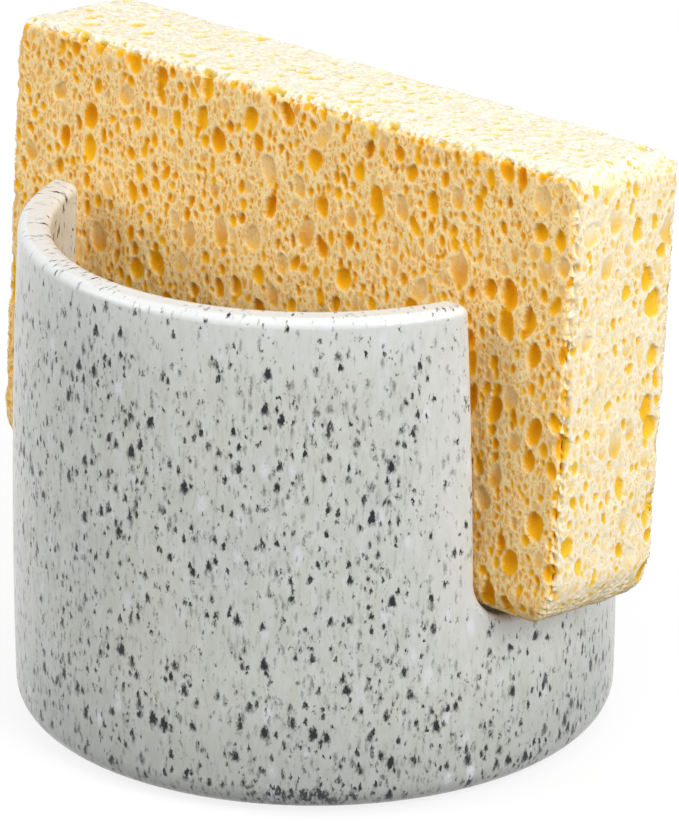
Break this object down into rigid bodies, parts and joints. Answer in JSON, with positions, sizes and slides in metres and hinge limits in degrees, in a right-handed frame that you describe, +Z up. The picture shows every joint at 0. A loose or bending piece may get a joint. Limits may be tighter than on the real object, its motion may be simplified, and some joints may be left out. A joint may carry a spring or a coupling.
{
  "type": "sponge holder",
  "caption": "Round glazed ceramic cup with a U-shaped slot straight across it, which holds a kitchen sponge on edge above a drip well; the sponge lifts out.",
  "frame": {"origin": "on the cup's vertical axis, on the surface that the foot pads stand on", "axes": "+Z up; X runs along the slot and the sponge's length; +Y points to the slot's wall that the sponge leans on"},
  "size_m": [0.112, 0.0902, 0.0971],
  "materials": {
    "glazed_stoneware": "gloss",
    "cellulose": "matte",
    "pad_rubber": "matte"
  },
  "bodies": {
    "holder": {"holder_body": "glazed_stoneware", "foot_pad_front_left": "pad_rubber", "foot_pad_front_right": "pad_rubber", "foot_pad_back_left": "pad_rubber", "foot_pad_back_right": "pad_rubber"},
    "sponge": {"sponge": "cellulose"}
  },
  "joints": [
    {"name": "sponge_lift", "type": "slide", "parent": "holder", "child": "sponge", "axis": [0, 0, 1], "range_m": [0, 0.055]}
  ]
}
